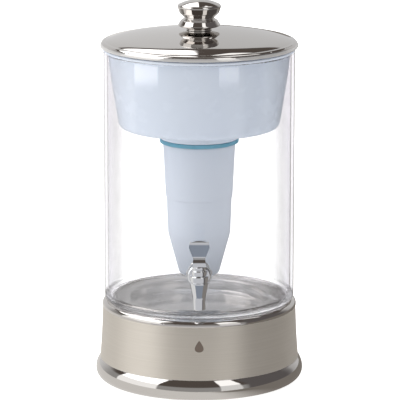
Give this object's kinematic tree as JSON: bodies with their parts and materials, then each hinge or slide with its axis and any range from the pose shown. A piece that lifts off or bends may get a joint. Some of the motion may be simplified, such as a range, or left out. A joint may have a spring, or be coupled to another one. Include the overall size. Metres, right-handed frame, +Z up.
{
  "type": "countertop water dispenser",
  "caption": "Countertop water dispenser: clear glass jar on a spun steel base, drop-in reservoir with a screw-in filter cartridge, domed steel lid with a knob, and a chrome lever spigot.",
  "frame": {"origin": "centre of the foot ring's underside, on the counter", "axes": "+Z up along the jar's axis; the spigot points along -Y; +X is to the right seen from the front"},
  "size_m": [0.241, 0.2758, 0.4439],
  "materials": {
    "base_steel": "satin band brushed round the base between two polished beads",
    "pan_steel": "bright drawn sheet",
    "foot_rubber": "matt",
    "jar_glass": "clear and polished",
    "clear_silicone": "translucent satin",
    "nut_steel": "machined",
    "spigot_chrome": "bright chrome plate",
    "black_rubber": "matt",
    "stem_plastic": "moulded",
    "seat_silicone": "moulded silicone",
    "spring_steel": "bright wire",
    "reservoir_plastic": "pale blue translucent moulding, glossy",
    "blue_silicone": "sky blue silicone, satin",
    "filter_plastic": "pale grey-blue moulding, fine satin",
    "screen_cloth": "fine woven screen",
    "filter_foam": "open foam",
    "carbon_granules": "granular",
    "resin_beads": "granular",
    "lid_steel": "mirror polished stainless",
    "ring_plastic": "moulded",
    "knob_steel": "mirror polished"
  },
  "bodies": {
    "base": {"base_shell": "base_steel", "support_pan": "pan_steel", "foot_ring": "foot_rubber"},
    "jar": {"glass_jar": "jar_glass", "outer_gasket": "clear_silicone", "inner_gasket": "clear_silicone", "shank_nut": "nut_steel", "spigot_body": "spigot_chrome", "bonnet_seal": "black_rubber", "spigot_bonnet": "spigot_chrome"},
    "lever": {"spigot_lever": "spigot_chrome"},
    "stem": {"valve_stem": "stem_plastic", "seat_plug": "seat_silicone", "lever_pin": "nut_steel", "valve_spring": "spring_steel"},
    "reservoir": {"reservoir": "reservoir_plastic"},
    "seal": {"filter_gasket": "blue_silicone"},
    "cartridge": {"filter_upper_housing": "filter_plastic", "filter_lower_housing": "filter_plastic", "filter_top_cap": "filter_plastic", "inlet_screen": "screen_cloth", "foam_disc": "filter_foam", "carbon_bed": "carbon_granules", "resin_bed": "resin_beads", "nonwoven_pad": "screen_cloth", "outlet_screen": "screen_cloth"},
    "lid": {"lid_shell": "lid_steel", "lid_locating_ring": "ring_plastic", "lid_knob": "knob_steel", "knob_washer": "nut_steel", "knob_screw": "nut_steel"}
  },
  "joints": [
    {"name": "jar_lift", "type": "slide", "parent": "base", "child": "jar", "axis": [0, 0, 1], "range_m": [0, 0.1]},
    {"name": "lever_pull", "type": "hinge", "parent": "jar", "child": "lever", "pos_m": [0, -0.152, 0.1665], "axis": [1, 0, 0], "range_deg": [0, 35], "stiffness_Nm_per_rad": 0.35, "springref_deg": -20.05},
    {"name": "stem_rise", "type": "slide", "parent": "jar", "child": "stem", "axis": [0, 0, 1], "range_m": [0, 0.00325], "deforming": ["valve_spring"]},
    {"name": "reservoir_lift", "type": "slide", "parent": "jar", "child": "reservoir", "axis": [0, 0, 1], "range_m": [0, 0.29]},
    {"name": "cartridge_drop", "type": "slide", "parent": "reservoir", "child": "seal", "axis": [0, 0, -1], "range_m": [0, 0.012]},
    {"name": "cartridge_unscrew", "type": "hinge", "parent": "seal", "child": "cartridge", "pos_m": [0, 0, 0.2], "axis": [0, 0, -1], "range_deg": [0, 540]},
    {"name": "lid_lift", "type": "slide", "parent": "reservoir", "child": "lid", "axis": [0, 0, 1], "range_m": [0, 0.09]}
  ],
  "couplings": [
    {"joint": "lever_pull", "follows": "stem_rise", "rad_per_m": 187.9},
    {"joint": "cartridge_drop", "follows": "cartridge_unscrew", "m_per_rad": 0.0012732}
  ]
}
